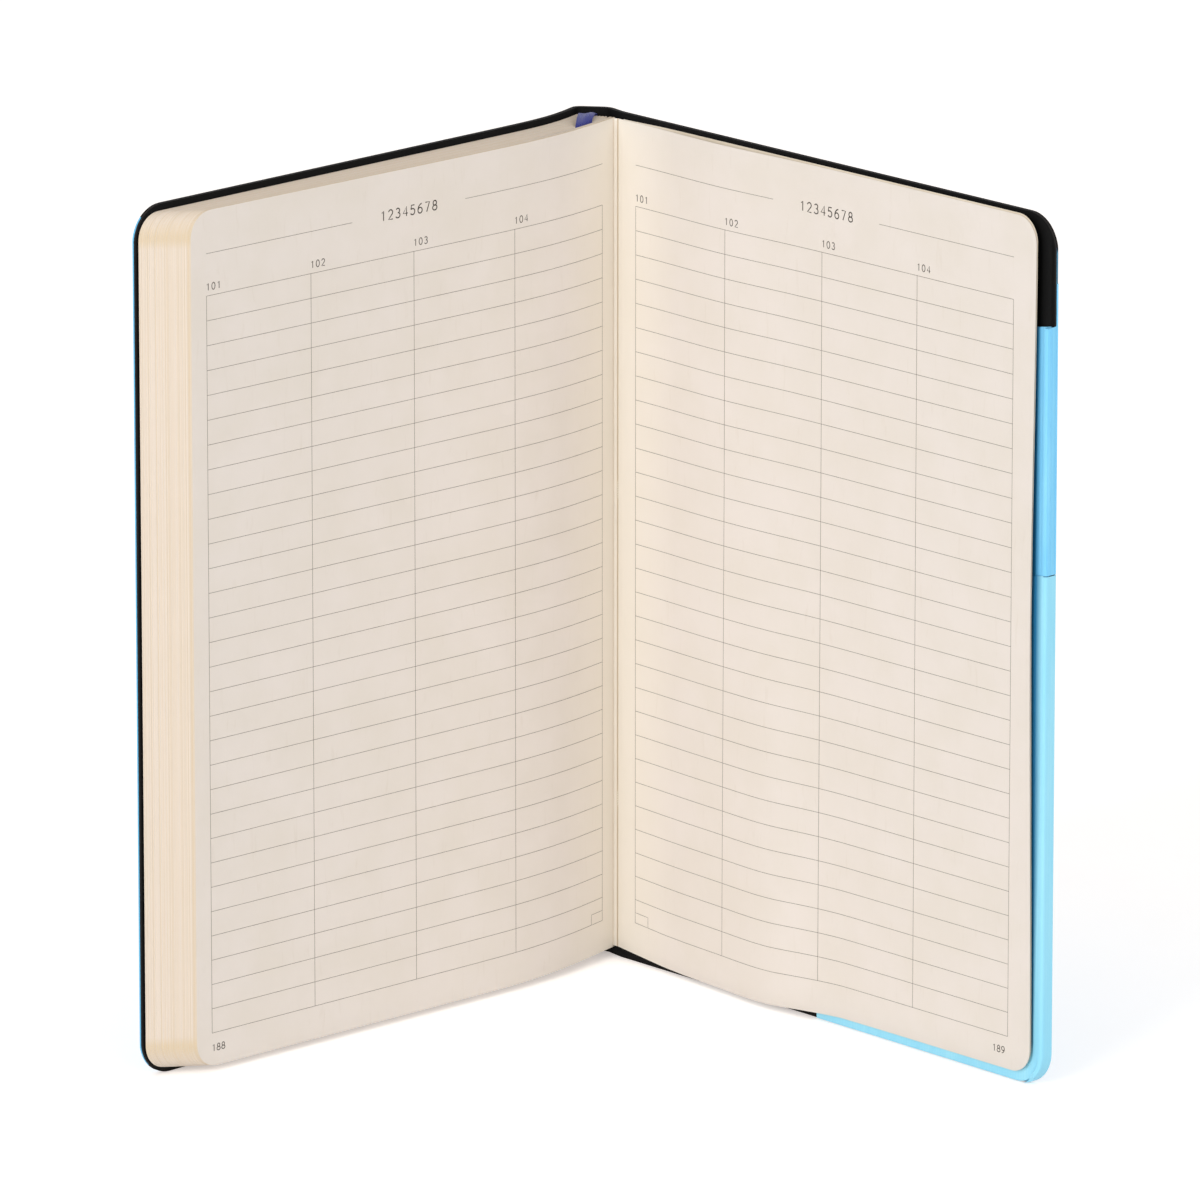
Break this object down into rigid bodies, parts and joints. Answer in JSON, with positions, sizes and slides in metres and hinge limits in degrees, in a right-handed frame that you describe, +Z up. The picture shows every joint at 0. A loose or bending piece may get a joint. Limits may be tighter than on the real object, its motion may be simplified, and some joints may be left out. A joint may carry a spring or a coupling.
{
  "type": "notebook",
  "caption": "Soft cover notebook with rounded corners, standing open at its last pages, with a ribbon marker and a pleated pocket inside the back cover.",
  "frame": {"origin": "middle of the footprint on the surface that the tail edge stands on", "axes": "+Z up to the head of the book, +Y towards the spine, +X towards the back cover's fore-edge"},
  "size_m": [0.2142, 0.1164, 0.21],
  "materials": {
    "cover_skin": "soft matt, light blue",
    "cover_board": "flexible dark board",
    "cover_lining": "matt black lining sheet",
    "page_paper": "uncoated ivory",
    "gauze": "open weave",
    "thread": "waxed thread",
    "ribbon": "satin woven",
    "pocket_paper": "light blue laid paper"
  },
  "bodies": {
    "text_block": {"spine_skin": "cover_skin", "spine_board": "cover_board", "spine_lining": "cover_lining", "spine_gauze": "gauze", "link_stitch_1": "thread", "link_stitch_2": "thread", "link_stitch_3": "thread", "link_stitch_4": "thread", "link_stitch_5": "thread", "signature_01": "page_paper", "signature_02": "page_paper", "signature_03": "page_paper", "signature_04": "page_paper", "signature_05": "page_paper", "signature_06": "page_paper", "signature_07": "page_paper", "signature_08": "page_paper", "signature_09": "page_paper", "signature_10": "page_paper", "signature_11": "page_paper", "signature_12": "page_paper", "bookmark_ribbon": "ribbon"},
    "front_cover": {"front_cover_skin": "cover_skin", "front_cover_board": "cover_board", "front_cover_lining": "cover_lining"},
    "last_leaf": {"last_leaf": "page_paper"},
    "back_flyleaf": {"back_flyleaf": "page_paper"},
    "back_cover": {"back_cover_skin": "cover_skin", "back_cover_board": "cover_board", "back_cover_lining": "cover_lining", "pocket_backing": "pocket_paper", "pocket_gusset": "pocket_paper"},
    "pocket_panel": {"pocket_panel": "pocket_paper"}
  },
  "joints": [
    {"name": "front_cover_open", "type": "hinge", "parent": "text_block", "child": "front_cover", "pos_m": [-0.00459, 0.0577, 0.105], "axis": [0, 0, -1], "range_deg": [0, 160]},
    {"name": "leaf_turn", "type": "hinge", "parent": "text_block", "child": "last_leaf", "pos_m": [0.0051, 0.05185, 0.105], "axis": [0, 0, 1], "range_deg": [-70, 40]},
    {"name": "flyleaf_turn", "type": "hinge", "parent": "last_leaf", "child": "back_flyleaf", "pos_m": [0.0051, 0.05185, 0.105], "axis": [0, 0, 1], "range_deg": [0, 8]},
    {"name": "back_cover_open", "type": "hinge", "parent": "back_flyleaf", "child": "back_cover", "pos_m": [0.0051, 0.05185, 0.105], "axis": [0, 0, 1], "range_deg": [0, 30]},
    {"name": "pocket_open", "type": "hinge", "parent": "back_cover", "child": "pocket_panel", "pos_m": [0.05308, -0.00035, 0.06], "axis": [0, 0, -1], "range_deg": [0, 6]}
  ],
  "couplings": [
    {"joint": "pocket_open", "follows": "back_cover_open", "ratio": 0.2}
  ]
}
